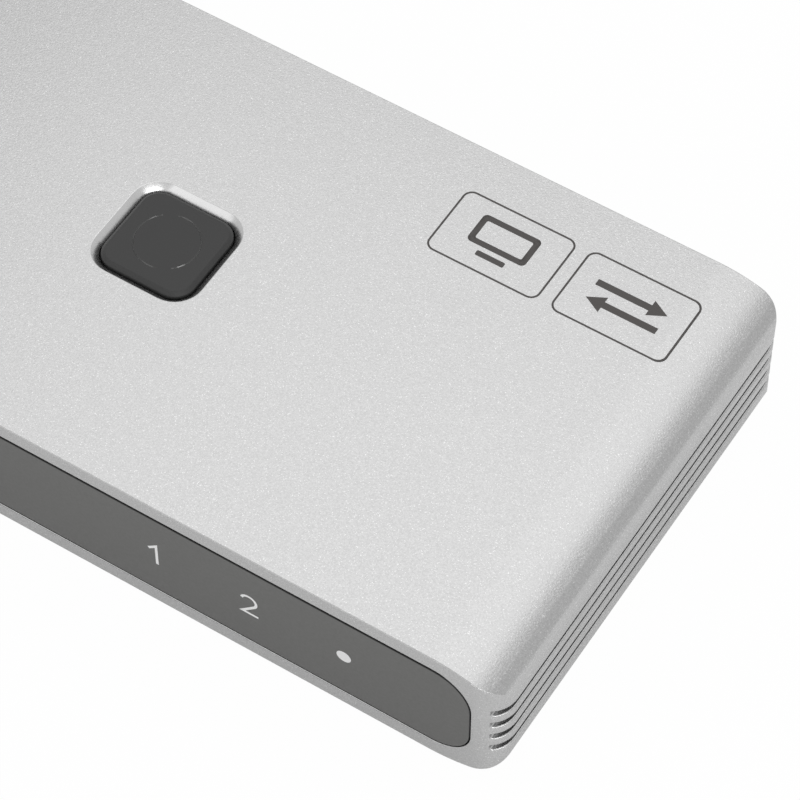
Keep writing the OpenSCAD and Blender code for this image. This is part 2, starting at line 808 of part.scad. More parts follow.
module indicator_lamp_1() { lamp(0); }
module indicator_lamp_2() { lamp(1); }
module power_lamp() { lamp(2); }

module switch_chip() {
    color(chip_black) standing_block(chip_x, button_y, z_parts, [chip_w, chip_w, chip_h]);
}

module regulator_chip() {
    color(chip_black) standing_block(usb_x, regulator_y, z_parts, [regulator_w, regulator_d, regulator_h]);
}

module power_inductor() {
    color(ferrite) standing_block(usb_x, inductor_y, z_parts, [inductor_w, inductor_w, inductor_h]);
}

module crystal() {
    color(steel) standing_block(crystal_x, button_y, z_parts, [crystal_w, crystal_d, crystal_h]);
}

module surge_arrays() {
    color(chip_black) for (i = [0 : hdmi_count - 1])
        standing_block(hdmi_x(i), surge_y, z_parts, [surge_w, surge_d, surge_h]);
}

module capacitors() {
    step = passive_l + part_space / 2;
    color(capacitor_tan) for (side = [-1, 1], i = [0 : capacitor_count - 1])
        standing_block(chip_x + side * (chip_w / 2 + part_space + passive_w / 2),
            button_y + (i - (capacitor_count - 1) / 2) * step, z_parts,
            [passive_w, passive_l, capacitor_h]);
}

module resistors() {
    color(chip_black) for (i = [0 : mark_count - 1])
        standing_block(indicator_x(i), resistor_y, z_parts, [passive_l, passive_w, resistor_h]);
}

module rubber_feet() {
    color(rubber) for (sx = [-1, 1], sy = [-1, 1])
        translate([sx * (body_w / 2 - foot_inset), sy * (body_d / 2 - foot_inset), 0])
            cylinder(d = foot_d, h = foot_h);
}

housing();
front_panel();
panel_tape();
front_frame();
front_screws();
rear_panel();
rear_screws();
circuit_board();
hdmi_in_1_shell();
hdmi_in_1_insert();
hdmi_in_1_contacts();
hdmi_in_2_shell();
hdmi_in_2_insert();
hdmi_in_2_contacts();
hdmi_out_shell();
hdmi_out_insert();
hdmi_out_contacts();
power_shell();
power_insert();
power_contacts();
button_cap();
switch_base();
switch_cover();
switch_plunger();
switch_dome();
switch_terminals();
indicator_lamp_1();
indicator_lamp_2();
power_lamp();
switch_chip();
regulator_chip();
power_inductor();
crystal();
surge_arrays();
capacitors();
resistors();
rubber_feet();
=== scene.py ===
import math

import bmesh
import bpy
from mathutils import Matrix, Vector


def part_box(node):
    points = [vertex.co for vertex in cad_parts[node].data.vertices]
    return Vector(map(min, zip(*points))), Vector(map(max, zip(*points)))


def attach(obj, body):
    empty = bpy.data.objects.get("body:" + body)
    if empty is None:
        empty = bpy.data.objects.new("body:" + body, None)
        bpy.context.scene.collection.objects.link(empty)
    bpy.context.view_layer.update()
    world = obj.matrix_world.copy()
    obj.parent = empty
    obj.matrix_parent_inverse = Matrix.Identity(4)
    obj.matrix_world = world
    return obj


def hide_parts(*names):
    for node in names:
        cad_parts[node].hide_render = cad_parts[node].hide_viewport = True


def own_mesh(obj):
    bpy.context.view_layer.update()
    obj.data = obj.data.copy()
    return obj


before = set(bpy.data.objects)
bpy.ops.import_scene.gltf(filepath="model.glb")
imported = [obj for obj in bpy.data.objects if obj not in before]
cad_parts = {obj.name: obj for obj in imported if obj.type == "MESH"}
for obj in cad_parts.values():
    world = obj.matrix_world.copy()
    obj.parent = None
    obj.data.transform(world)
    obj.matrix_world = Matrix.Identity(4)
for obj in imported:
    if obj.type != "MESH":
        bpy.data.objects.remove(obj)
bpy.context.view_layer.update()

# Sizes below are in millimetres, and meshes are scaled to metres when they become pieces
MM = 0.001

# Sleeve
EDGE_REACH = 7.4
EDGE_FALL = 3.45
EDGE_R = 2.4
CORNER_R = 2.8
MOUTH_R = 4.0
WALL_T = 1.8
SIDE_T = 3.0
GROOVE_COUNT = 4
GROOVE_PITCH = 1.89
GROOVE_H = 0.8
GROOVE_DEPTH = 1.35
ROOT = 0.3
RAIL_LAP = 1.3
RAIL_T = 0.9
RAIL_GAP = 0.15
RAIL_R = 0.15
CHANNEL_D = 4.4
CHANNEL_WEB = 2.4
CHANNEL_BORE = 2.02

# Button and its opening
OPENING_W = 10.2
OPENING_R = 2.15
OPENING_CHAMFER = 0.75
PATCH_W = 16.0
CAP_GAP = 0.15
CAP_BEVEL = 0.4
CAP_DROP = 0.35
CAP_ROUND = 0.07
CAP_SOFT = 0.05
CAP_TOP_T = 1.2
CAP_SKIRT_T = 1.0
FLANGE_LAP = 1.0
FLANGE_T = 0.8
FLANGE_GAP = 0.1
STEM_D = 3.0
RING_D = 6.3
RING_LINE = 0.15
RING_DEPTH = 0.06
RING_WALL = 0.06
RING_BREAK = math.radians(26)
RING_TURN = math.radians(119)
RING_FADE = math.radians(5)

# Front and rear panels: the front panel lies a little right and low in its mouth
PANEL_ROUND = 0.12
PANEL_SEAT_X = 0.11
PANEL_SEAT_Z = -0.06
REAR_ROUND = 0.2
BACK_ROUND = 0.05
HEAD_D = 3.6
HEAD_H = 1.1
HEAD_SINK = 0.1
HEAD_ROUND = 0.4
HEAD_UNDER_ROUND = 0.08
SCREW_D = 1.9
SCREW_TIP = 0.5
SCREW_TIP_R = 0.3
SCREW_GAP = 0.12
DRIVE_L = 2.0
DRIVE_W = 0.5
DRIVE_DEPTH = 0.6
DRIVE_TAPER = 0.08
DRIVE_LIP = 0.06

# Sockets
HDMI_H = 4.55
HDMI_CUT_W = 1.7
HDMI_CUT_H = 1.6
HDMI_SHELL_T = 0.4
HDMI_BEND_R = 0.35
USB_H = 3.26
USB_SHELL_T = 0.3
SOCKET_GAP = 0.2
MOUTH_ROUND = 0.12
TAB_W = 1.2
TAB_SETBACK = 2.4
TAB_STEP = 3.6

# Feet
FOOT_R = 4.0
FOOT_ROUND = 0.35

# Printed marks
INK_T = 0.006
INK_ROOT = 0.002
DIGIT_H = 3.0
DIGIT_LINE = 0.29
MARK_Z = 8.55
MARK_1_X = 15.52
MARK_2_X = 25.34
DOT_X = 35.3
DOT_D = 1.5
LABEL_X = (20.1, 33.4)
LABEL_W = 11.98
LABEL_Y = 12.12
LABEL_D = 7.94
LABEL_R = 1.0
LABEL_LINE = 0.2

# Small rounding of edges that are sharp in the solids
LIP_SOFT = 0.2
MOUTH_SOFT = 0.09
NODE_SOFT = 0.04

# How near a point counts as on a plane, and how far a normal has to lean to count as level or facing
NEAR = 0.01
LEVEL_NORMAL = 0.99
FACING_NORMAL = 0.9

# Least cosine at a mitred joint, so that sharp turns don't reach out
MITRE_LIMIT = 0.35

# Camera: it looks at a point on the top face from the photograph's direction
VIEW_AZIMUTH = math.radians(32.344)
VIEW_ELEVATION = math.radians(54.567)
VIEW_DISTANCE = 338.3
VIEW_POINT = (27.62, -3.68)
VIEW_LENS = 171.1
VIEW_SENSOR = 36.0

# Light and floor: shares are how far the floor looks plain white to the camera and in reflections
SURROUND_LEVEL = 0.6
FLOOR_SIZE = 6000.0
FLOOR_DROP = 0.02
FLOOR_SEEN_SHARE = 0.98
FLOOR_REFLECTED_SHARE = 0.1
FLOOR_TONE = 0.9


def box_mm(node):
    """Lowest and highest corners of a node, in millimetres."""
    lo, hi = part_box(node)
    return lo / MM, hi / MM


sleeve_lo, sleeve_hi = box_mm("housing")
panel_lo, panel_hi = box_mm("front_panel")
rear_lo, rear_hi = box_mm("rear_panel")
board_lo, board_hi = box_mm("circuit_board")
cap_lo, cap_hi = box_mm("button_cap")
feet_lo, feet_hi = box_mm("rubber_feet")
rear_screw_lo, rear_screw_hi = box_mm("rear_screws")

body_w = sleeve_hi.x - sleeve_lo.x
body_d = sleeve_hi.y - sleeve_lo.y
top_z = sleeve_hi.z - INK_T
body_h = top_z - sleeve_lo.z
mid_z = (top_z + sleeve_lo.z) / 2
mouth_w = body_w - 2 * SIDE_T
mouth_h = sleeve_hi.z - sleeve_lo.z - 2 * WALL_T
mouth_z = (sleeve_hi.z + sleeve_lo.z) / 2
edge_centre = EDGE_REACH - EDGE_R
shoulder_r = (edge_centre ** 2 / (EDGE_FALL - EDGE_R) + EDGE_R + EDGE_FALL) / 2
join_turn = math.acos(edge_centre / (shoulder_r - EDGE_R))
flat_half = Vector((body_w / 2 - EDGE_REACH, body_h / 2 - EDGE_FALL))
groove_floor_x = body_w / 2 - GROOVE_DEPTH - NEAR
channel_x = rear_screw_hi.x - HEAD_D / 2
channel_z = (rear_screw_lo.z + rear_screw_hi.z) / 2


# Outlines

CORNERS = ((1, -1), (1, 1), (-1, 1), (-1, -1))


def stations(cuts, arc_steps):
    """Stations round a rounded rectangle, counter-clockwise from its lower right.

    Each is the share of the straight half sides that it leans on, and its outward angle.
    """
    found = []
    for side, cut_list in enumerate(cuts):
        start = Vector(CORNERS[side])
        end = Vector(CORNERS[(side + 1) % 4])
        turn = side * math.pi / 2
        found += [(start.lerp(end, cut), turn) for cut in cut_list]
        found += [(end, turn + math.pi / 2 * step / arc_steps) for step in range(1, arc_steps)]
    return found


def on_rounded_rect(station, w, h, r):
    """Point of a rounded rectangle about the origin at a station."""
    share, turn = station
    return Vector((share.x * (w / 2 - r) + r * math.cos(turn), share.y * (h / 2 - r) + r * math.sin(turn)))


def even_cuts(count):
    """Shares of a straight side that divide it evenly."""
    return [i / count for i in range(count + 1)]


def rounded_rect(w, h, r, arc_steps=10, side_steps=1):
    """Rounded rectangle about the origin as a loop of points."""
    cuts = [even_cuts(side_steps)] * 4
    return [on_rounded_rect(station, w, h, r) for station in stations(cuts, arc_steps)]


def circle(r, count=48):
    """Circle about the origin as a loop of points."""
    return [Vector((r * math.cos(a), r * math.sin(a))) for a in (math.tau * i / count for i in range(count))]


def rounded_polygon(corners, r, steps=6):
    """Polygon with its corners rounded, as a loop of points."""
    loop = []
    for i, corner in enumerate(corners):
        before = (corners[i - 1] - corner).normalized()
        after = (corners[(i + 1) % len(corners)] - corner).normalized()
        half = before.angle(after) / 2
        centre = corner + (before + after).normalized() * r / math.sin(half)
        start = corner + before * r / math.tan(half) - centre
        sweep = math.pi - 2 * half
        turn = math.copysign(sweep, before.x * after.y - before.y * after.x) * -1
        for step in range(steps + 1):
            loop.append(centre + Matrix.Rotation(turn * step / steps, 2) @ start)
    return loop


def eased(points, r, steps=3):
    """Open path with the corners between its ends rounded."""
    path = [points[0]]
    for before, corner, after in zip(points, points[1:], points[2:]):
        start = corner + (before - corner).normalized() * r
        end = corner + (after - corner).normalized() * r
        for step in range(steps + 1):
            share = step / steps
            path.append(start.lerp(corner, share).lerp(corner.lerp(end, share), share))
    path.append(points[-1])
    return path


def moved(loop, x, z):
    """Loop of points moved in its plane."""
    return [point + Vector((x, z)) for point in loop]


def stroke(points, width):
    """Outline of a line of a given width with mitred joints, as a loop of points."""
    left, right = [], []
    for i, point in enumerate(points):
        into = (point - points[i - 1]).normalized() if i else None
        out = (points[i + 1] - point).normalized() if i + 1 < len(points) else None
        into = into or out
        out = out or into
        along = (into + out).normalized()
        side = Vector((-along.y, along.x))
        reach = width / 2 / max(along.dot(into), MITRE_LIMIT)
        left.append(point + side * reach)
        right.append(point - side * reach)
    return left + right[::-1]


# Mesh building

def facing_front(point, depth):
    """Point of an outline in X and Z, at a station along the depth."""
    return Vector((point[0], depth, point[1]))


def facing_up(point, height):
    """Point of an outline in X and Y, at a height."""
    return Vector((point[0], point[1], height))


def loft(bm, rings):
    """Bands of faces between neighbouring rings of points; returns the rings and the bands."""
    made = [[bm.verts.new(point) for point in ring] for ring in rings]
    bands = []
    for ring, following in zip(made, made[1:]):
        count = len(ring)
        bands.append([
            bm.faces.new((ring[i], ring[(i + 1) % count], following[(i + 1) % count], following[i]))
            for i in range(count)
        ])
    return made, bands


def loop_edges(bm, ring):
    """Edges of a closed ring of vertices."""
    return [bm.edges.get(pair) or bm.edges.new(pair) for pair in zip(ring, ring[1:] + ring[:1])]


def fill(bm, rings):
    """Flat face inside the first ring and outside the others."""
    if len(rings) == 1:
        bm.faces.new(rings[0])
        return
    edges = [edge for ring in rings for edge in loop_edges(bm, ring)]
    bmesh.ops.triangle_fill(bm, use_beauty=True, use_dissolve=False, edges=edges)


def edge_profile(front, back, front_r=0.0, back_r=0.0, steps=4):
    """Edge of a plate from its front face to its back face, as pairs of inset and depth."""
    way = math.copysign(1, back - front)
    profile = []
    for step in range(steps + 1 if front_r else 1):
        a = math.pi / 2 * step / steps
        profile.append((front_r * (1 - math.sin(a)), front + way * front_r * (1 - math.cos(a))))
    for step in range(steps + 1 if back_r else 1):
        a = math.pi / 2 * (1 - step / steps)
        profile.append((back_r * (1 - math.sin(a)), back - way * back_r * (1 - math.cos(a))))
    return profile


def plate(bm, rims, place, blind=()):
    """Plate with an outline, any through holes after it, and blind recesses in its front face.

    A rim is a function that gives the loop for an inset into the plate, and its edge profile.
    """
    fronts, backs = [], []
    for outline, profile in rims:
        rings, _ = loft(bm, [[place(p, depth) for p in outline(inset)] for inset, depth in profile])
        fronts.append(rings[0])
        backs.append(rings[-1])
    for outline, profile in blind:
        rings, _ = loft(bm, [[place(p, depth) for p in outline(inset)] for inset, depth in profile])
        fronts.append(rings[0])
        bm.faces.new(rings[-1])
    fill(bm, fronts)
    fill(bm, backs)


def weigh_edges(bm, least=0.35, full=1.2, share=lambda edge: 1.0):
    """Bevel weights that grow with the angle between an edge's faces, up to the edge's share."""
    layer = bm.edges.layers.float.new("bevel_weight_edge")
    for edge in bm.edges:
        angle = edge.calc_face_angle(0.0)
        edge[layer] = min(max((angle - least) / (full - least), 0.0), 1.0) * share(edge)


def piece(name, bm, body, materials, nodes=(), soft=0.0, segments=2):
    """Turns a mesh in millimetres into a piece of the object that rides on a body.

    Edges that carry a bevel weight are rounded by the soft width.
    """
    bmesh.ops.recalc_face_normals(bm, faces=bm.faces[:])
    mesh = bpy.data.meshes.new(name)
    bm.to_mesh(mesh)
    bm.free()
    mesh.transform(Matrix.Scale(MM, 4))
    for polygon in mesh.polygons:
        polygon.use_smooth = True
    for material in materials:
        mesh.materials.append(material)
    obj = bpy.data.objects.new(name, mesh)
    bpy.context.collection.objects.link(obj)
    if soft:
        soften(obj, soft, segments, "WEIGHT")
    even_normals(obj)
    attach(obj, body)
    if nodes:
        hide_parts(*nodes)
    return obj


def soften(obj, width, segments, limit):
    """Rounds an object's sharp edges."""
    bevel = obj.modifiers.new("soft_edges", "BEVEL")
    bevel.width = width * MM
    bevel.segments = segments
    bevel.limit_method = limit
    bevel.angle_limit = math.radians(40)
    bevel.use_clamp_overlap = limit == "ANGLE"
    bevel.harden_normals = False


def even_normals(obj):
    """Keeps the shading of flat faces flat beside rounded edges."""
    normals = obj.modifiers.new("even_normals", "WEIGHTED_NORMAL")
    normals.keep_sharp = True


# Materials

def material(name, **sockets):
    """New material with a Principled shader and its constant values."""
    made = bpy.data.materials.new(name)
    made.use_nodes = True
    for socket, value in sockets.items():
        shader_of(made).inputs[socket.replace("_", " ")].default_value = value
    return made


def grey(level):
    """Neutral colour of a linear level."""
    return (level, level, level, 1.0)


def shader_of(made):
    """Principled shader of a material."""
    return made.node_tree.nodes["Principled BSDF"]


def noise(made, size, detail=2.0, stretch=(1.0, 1.0, 1.0)):
    """Noise in the object's own space with features of about a size in millimetres."""
    tree = made.node_tree
    place = tree.nodes.new("ShaderNodeTexCoord")
    scale = tree.nodes.new("ShaderNodeMapping")
    scale.inputs["Scale"].default_value = stretch
    texture = tree.nodes.new("ShaderNodeTexNoise")
    texture.inputs["Scale"].default_value = 1 / (size * MM)
    texture.inputs["Detail"].default_value = detail
    tree.links.new(place.outputs["Object"], scale.inputs["Vector"])
    tree.links.new(scale.outputs["Vector"], texture.inputs["Vector"])
    return texture.outputs["Fac"]


def ramp(made, factor, stops):
    """Colours along a factor: pairs of position and colour."""
    node = made.node_tree.nodes.new("ShaderNodeValToRGB")
    elements = node.color_ramp.elements
    while len(elements) < len(stops):
        elements.new(1.0)
    for element, (position, colour) in zip(elements, stops):
        element.position = position
        element.color = colour
    made.node_tree.links.new(factor, node.inputs["Fac"])
    return node.outputs["Color"]


def mixed(made, factor, first, second, mode="MIX"):
    """Two colours mixed by a factor."""
    node = made.node_tree.nodes.new("ShaderNodeMix")
    node.data_type = "RGBA"
    node.blend_type = mode
    links = made.node_tree.links
    for socket, value in zip((node.inputs[0], node.inputs[6], node.inputs[7]), (factor, first, second)):
        if isinstance(value, bpy.types.NodeSocket):
            links.new(value, socket)
        else:
            socket.default_value = value
    return node.outputs[2]


def ranged(made, factor, low, high):
    """Factor mapped from its usual middle range to a range of values."""
    node = made.node_tree.nodes.new("ShaderNodeMapRange")
    node.inputs["From Min"].default_value = 0.3
    node.inputs["From Max"].default_value = 0.7
    node.inputs["To Min"].default_value = low
    node.inputs["To Max"].default_value = high
    made.node_tree.links.new(factor, node.inputs["Value"])
    return node.outputs["Result"]


def paint(made, colour):
    made.node_tree.links.new(colour, shader_of(made).inputs["Base Color"])


def gloss(made, value):
    made.node_tree.links.new(value, shader_of(made).inputs["Roughness"])


def relief(made, height, depth):
    """Bump of a depth in millimetres."""
    node = made.node_tree.nodes.new("ShaderNodeBump")
    node.inputs["Strength"].default_value = 1.0
    node.inputs["Distance"].default_value = depth * MM
    made.node_tree.links.new(height, node.inputs["Height"])
    made.node_tree.links.new(node.outputs["Normal"], shader_of(made).inputs["Normal"])


def grained(name, low, high, grain, rough, depth, **sockets):
    """Material with fine grain in colour, gloss and relief, and slow clouds in its colour."""
    made = material(name, **sockets)
    fine = noise(made, grain, 3.0)
    clouds = noise(made, grain * 90, 2.0)
    fine_colour = ramp(made, fine, ((0.3, low), (0.7, high)))
    cloud_colour = ramp(made, clouds, ((0.3, grey(0.94)), (0.7, grey(1.0))))
    paint(made, mixed(made, 1.0, fine_colour, cloud_colour, "MULTIPLY"))
    gloss(made, ranged(made, fine, *rough))
    relief(made, fine, depth)
    return made


polished = grained("polished_edge", grey(0.79), grey(0.87), 0.08, (0.22, 0.3), 0.0004, Metallic=1.0)
smoked = grained("smoked_acrylic", (0.106, 0.106, 0.102, 1), (0.116, 0.116, 0.112, 1), 0.3, (0.1, 0.14),
                 0.0003, IOR=1.49)
# The front panel's rim gets a near-black colour: painted shade that darkens the gap line round the panel
panel_rim_painted_shade = grained("panel_rim_painted_shade", grey(0.010), grey(0.016), 0.1, (0.3, 0.4), 0.001, IOR=1.49)
cap_plastic = grained("button_plastic", grey(0.042), grey(0.052), 0.1, (0.44, 0.54), 0.004, IOR=1.47)
engraved = grained("engraved_line", grey(0.042), grey(0.052), 0.1, (0.09, 0.13), 0.0004, IOR=1.8)
black_plastic = grained("black_plastic", grey(0.018), grey(0.026), 0.16, (0.4, 0.52), 0.006, IOR=1.5)
tape = grained("adhesive_tape", grey(0.02), grey(0.035), 0.4, (0.6, 0.8), 0.01)
plated_steel = grained("plated_steel", (0.60, 0.59, 0.56, 1), (0.70, 0.69, 0.66, 1), 0.2, (0.22, 0.32),
                       0.0008, Metallic=1.0)
black_steel = grained("black_steel", grey(0.035), grey(0.06), 0.12, (0.3, 0.42), 0.002, Metallic=0.6)
gold = grained("gold_contacts", (0.78, 0.52, 0.16, 1), (0.86, 0.60, 0.22, 1), 0.1, (0.2, 0.3), 0.0006,
               Metallic=1.0)
lamp_epoxy = grained("lamp_body", (0.78, 0.78, 0.74, 1), (0.86, 0.86, 0.82, 1), 0.2, (0.2, 0.3), 0.001)
chip_epoxy = grained("chip_epoxy", grey(0.02), grey(0.032), 0.06, (0.5, 0.65), 0.003)
ferrite = grained("ferrite", grey(0.05), grey(0.075), 0.09, (0.55, 0.7), 0.006)
ceramic = grained("ceramic", (0.33, 0.22, 0.11, 1), (0.40, 0.27, 0.15, 1), 0.12, (0.35, 0.5), 0.002)
rubber = grained("rubber", grey(0.022), grey(0.034), 0.2, (0.7, 0.85), 0.012)
white_ink = grained("white_ink", grey(0.90), grey(0.96), 0.12, (0.4, 0.5), 0.001)
dark_ink = grained("dark_ink", (0.078, 0.071, 0.068, 1), (0.092, 0.085, 0.082, 1), 0.12, (0.45, 0.55), 0.001)


def blasted_material():
    """Bead-blasted, anodised aluminium: dense fine pits in its tone, gloss and relief, with bright specks
    painted into its colour as glints.
    """
    made = material("anodised_aluminium", Metallic=1.0)
    pit_size, glint_size, pit_depth = 0.17, 0.11, 0.01
    pits = noise(made, pit_size, 2.0)
    painted_glint_noise = noise(made, glint_size, 0.0)
    tone = ramp(made, pits, ((0.3, grey(0.56)), (0.7, grey(0.68))))
    # Painted glints: bright specks in the base colour stand in for the sparkle highlights of the blasted
    # surface
    painted_glints = ramp(made, painted_glint_noise, ((0.70, grey(0.0)), (0.80, grey(1.0))))
    paint(made, mixed(made, painted_glints, tone, grey(0.9)))
    gloss(made, ranged(made, pits, 0.22, 0.28))
    relief(made, pits, pit_depth)
    return made


anodised = blasted_material()


def board_material():
    """Green solder mask over copper tracks."""
    made = material("circuit_board", IOR=1.5)
    mask_green = (0.008, 0.075, 0.035, 1)
    track_green = (0.012, 0.12, 0.055, 1)
    tracks = noise(made, 2.2, 0.0, (1.0, 0.25, 1.0))
    fine = noise(made, 0.2, 2.0)
    stops = ((0.46, mask_green), (0.48, track_green), (0.52, track_green), (0.54, mask_green))
    mask = ramp(made, tracks, stops)
    grain = ramp(made, fine, ((0.3, grey(0.9)), (0.7, grey(1.0))))
    paint(made, mixed(made, 1.0, mask, grain, "MULTIPLY"))
    gloss(made, ranged(made, fine, 0.25, 0.38))
    relief(made, tracks, 0.02)
    return made


solder_mask = board_material()


# Sleeve

def plan_y(x):
    """Half depth of the sleeve at a place across its width: it falls away in the rounded corners."""
    over = max(abs(x) - (body_w / 2 - CORNER_R), 0.0)
    return body_d / 2 - CORNER_R + math.sqrt(max(CORNER_R ** 2 - over ** 2, 0.0))


def groove_edges():
    """Heights of the grooves' edges from the middle of the sleeve, from the lowest up."""
    centres = [(i - (GROOVE_COUNT - 1) / 2) * GROOVE_PITCH for i in range(GROOVE_COUNT)]
    return [centre + side * GROOVE_H / 2 for centre in centres for side in (-1, 1)]


def on_sleeve(station, inset):
    """Point of the sleeve's section at a station, drawn in by an inset.

    A wide arc from the top or the bottom runs into a tighter arc at the side.
    """
    share, turn = station
    across = math.cos(turn)
    up = math.sin(turn)
    tight_r = EDGE_R - inset
    wide_r = shoulder_r - inset
    if abs(up) < math.sin(join_turn):
        arc = Vector((tight_r * across + math.copysign(edge_centre, across), tight_r * up))
    else:
        arc = Vector((wide_r * across, wide_r * up - math.copysign(shoulder_r - EDGE_FALL, up)))
    return Vector((share.x * flat_half.x, share.y * flat_half.y)) + arc


def edge_length(turn):
    """Length along a long edge of the sleeve, from the side up to an outward angle."""
    return EDGE_R * turn + (shoulder_r - EDGE_R) * max(turn - join_turn, 0.0)


def mouth_station(station):
    """Station on the mouth that is as far round its corner as a station round the sleeve's long edge."""
    share, turn = station
    across = math.cos(turn)
    up = math.sin(turn)
    lean = math.pi / 2 * edge_length(math.atan2(abs(up), abs(across))) / edge_length(math.pi / 2)
    return share, math.atan2(math.copysign(math.sin(lean), up), math.copysign(math.cos(lean), across))


def wall_points(station, mouth_steps, outer_steps):
    """Points through the wall from the mouth to the outside, by way of the line of the grooves' floors."""
    inner = on_rounded_rect(mouth_station(station), mouth_w, mouth_h, MOUTH_R)
    inner.y += mouth_z - mid_z
    floor = on_sleeve(station, GROOVE_DEPTH)
    outer = on_sleeve(station, 0.0)
    points = [inner.lerp(floor, i / mouth_steps) for i in range(mouth_steps)]
    start = math.asin(1 - GROOVE_DEPTH / CORNER_R)
    lean = abs(math.cos(station[1]))
    for i in range(outer_steps + 1):
        even = i / outer_steps
        arc = start + (math.pi / 2 - start) * even
        round_share = 1 - (1 - math.sin(arc)) * CORNER_R / GROOVE_DEPTH
        points.append(floor.lerp(outer, even + (round_share - even) * lean))
    return points


def sleeve():
    """Wall cells between the mouth and the outside, swept along the depth, with the button's opening."""
    mouth_steps, outer_steps, arc_steps = 6, 6, 45
    side_cuts = [0.0] + [(z / flat_half.y + 1) / 2 for z in groove_edges()] + [1.0]
    patch_share = PATCH_W / 2 / flat_half.x
    top_cuts = [0.0, (1 - patch_share) / 2, (1 + patch_share) / 2, 1.0]
    rays = stations((side_cuts, top_cuts, side_cuts, top_cuts), arc_steps)
    side_rays = len(side_cuts) - 1
    left_start = len(side_cuts) + len(top_cuts) + 2 * (arc_steps - 1)
    groove_rays = {first + i for first in (0, left_start) for i in range(1, side_rays, 2)}

    bm = bmesh.new()
    grid = []
    for station in rays:
        points = wall_points(station, mouth_steps, outer_steps)
        grid.append([bm.verts.new((p.x, -plan_y(p.x), p.y + mid_z)) for p in points])
    for i, ray in enumerate(grid):
        following = grid[(i + 1) % len(grid)]
        depth = mouth_steps if i in groove_rays else mouth_steps + outer_steps
        for j in range(depth):
            bm.faces.new((ray[j], ray[j + 1], following[j + 1], following[j]))
    bmesh.ops.delete(bm, geom=[v for v in bm.verts if not v.link_faces], context="VERTS")

    front = bm.faces[:]
    cap = front
    for share in (-1, 1, None):
        grown = bmesh.ops.extrude_face_region(bm, geom=cap)["geom"]
        if cap is not front:
            bmesh.ops.delete(bm, geom=cap, context="FACES")
        cap = [g for g in grown if isinstance(g, bmesh.types.BMFace)]
        for vert in {v for face in cap for v in face.verts}:
            vert.co.y = plan_y(vert.co.x) if share is None else share * PATCH_W / 2
    cut_opening(bm)
    bmesh.ops.recalc_face_normals(bm, faces=bm.faces[:])
    join_groove_walls(bm)
    weigh_edges(bm, share=lip_share)
    metals = (anodised, polished)
    return piece("sleeve", bm, "box", metals, ("housing",), LIP_SOFT, 3)


def lip_share(edge):
    """Share of the rounding that an edge of the sleeve takes: the grooves' lips take it all."""
    in_side = all(abs(vert.co.x) > groove_floor_x for vert in edge.verts)
    level = any(abs(face.normal.z) > LEVEL_NORMAL for face in edge.link_faces)
    return 1.0 if in_side and level else MOUTH_SOFT / LIP_SOFT


def join_groove_walls(bm):
    """Joins the cells of each flat wall beside a groove, so that its lip can be rounded."""
    for crosswise in (True, False):
        seams = []
        for edge in bm.edges:
            start, end = (vert.co for vert in edge.verts)
            lies_across = abs(start.y - end.y) < 0.001
            beside_groove = min(abs(start.x), abs(end.x)) > groove_floor_x
            level = all(abs(face.normal.z) > LEVEL_NORMAL for face in edge.link_faces)
            if beside_groove and level and lies_across == crosswise and len(edge.link_faces) == 2:
                seams.append(edge)
        bmesh.ops.dissolve_edges(bm, edges=seams, use_verts=True)


def cut_opening(bm):
    """Opens the top wall for the button, with a polished chamfer round the opening."""
    ceiling_z = sleeve_hi.z - WALL_T
    patch = [f for f in bm.faces if f.calc_center_median().z > mid_z
             and max(map(abs, f.calc_center_median().xy)) < PATCH_W / 4]
    squares = [[loop.vert for loop in face.loops] for face in sorted(patch, key=lambda f: -f.verts[0].co.z)]
    bmesh.ops.delete(bm, geom=patch, context="FACES_ONLY")
    rim = OPENING_CHAMFER * 2.2
    levels = (
        (rim, top_z),
        (OPENING_CHAMFER, top_z),
        (0.0, top_z - OPENING_CHAMFER),
        (0.0, ceiling_z),
        (OPENING_CHAMFER, ceiling_z),
    )
    rings, bands = loft(bm, [
        [facing_up(p, z) for p in rounded_rect(OPENING_W + 2 * g, OPENING_W + 2 * g, OPENING_R + g, 8)]
        for g, z in levels
    ])
    for face in bands[1]:
        face.material_index = 1
    fill(bm, (squares[0], rings[0]))
    fill(bm, (squares[1], rings[-1]))


def sleeve_rails():
    """Rails that hold the board, and the channels for the screws, along both side walls."""
    bm = bmesh.new()
    wall_x = mouth_w / 2 + ROOT
    rail_x = board_hi.x - RAIL_LAP
    front = box_mm("front_frame")[1].y
    back = rear_lo.y
    rail_z = board_hi.z + RAIL_GAP
    heights = ((sleeve_lo.z + WALL_T - ROOT, board_lo.z), (rail_z, rail_z + RAIL_T))
    profile = edge_profile(front, back, NODE_SOFT, NODE_SOFT, 2)
    for side in (-1, 1):
        for low, high in heights:
            def rail(inset):
                loop = rounded_rect(wall_x - rail_x - 2 * inset, high - low - 2 * inset, RAIL_R, 3)
                return moved(loop, side * (wall_x + rail_x) / 2, (low + high) / 2)
            plate(bm, [(rail, profile)], facing_front)

        def channel(inset):
            lift = math.asin(CHANNEL_WEB / CHANNEL_D)
            turns = [lift + (math.tau - 2 * lift) * i / 40 for i in range(41)]
            r = CHANNEL_D / 2 - inset
            loop = [Vector((side * r * math.cos(a), r * math.sin(a))) for a in turns]
            ends = [Vector((side * (wall_x - channel_x), up * CHANNEL_WEB / 2)) for up in (-1, 1)]
            return moved(loop + ends, side * channel_x, channel_z)

        def bore(inset):
            return moved(circle(CHANNEL_BORE / 2 + inset), side * channel_x, channel_z)
        plate(bm, [(channel, profile), (bore, profile)], facing_front)
    return piece("sleeve_rails", bm, "box", (anodised,))


# Front panel and its marks

def mouth_outline(gap):
    """Outline of a panel in the mouth for an inset, as a function."""
    def outline(inset):
        shrink = 2 * (gap + inset)
        return moved(rounded_rect(mouth_w - shrink, mouth_h - shrink, MOUTH_R - shrink / 2), 0, mouth_z)
    return outline


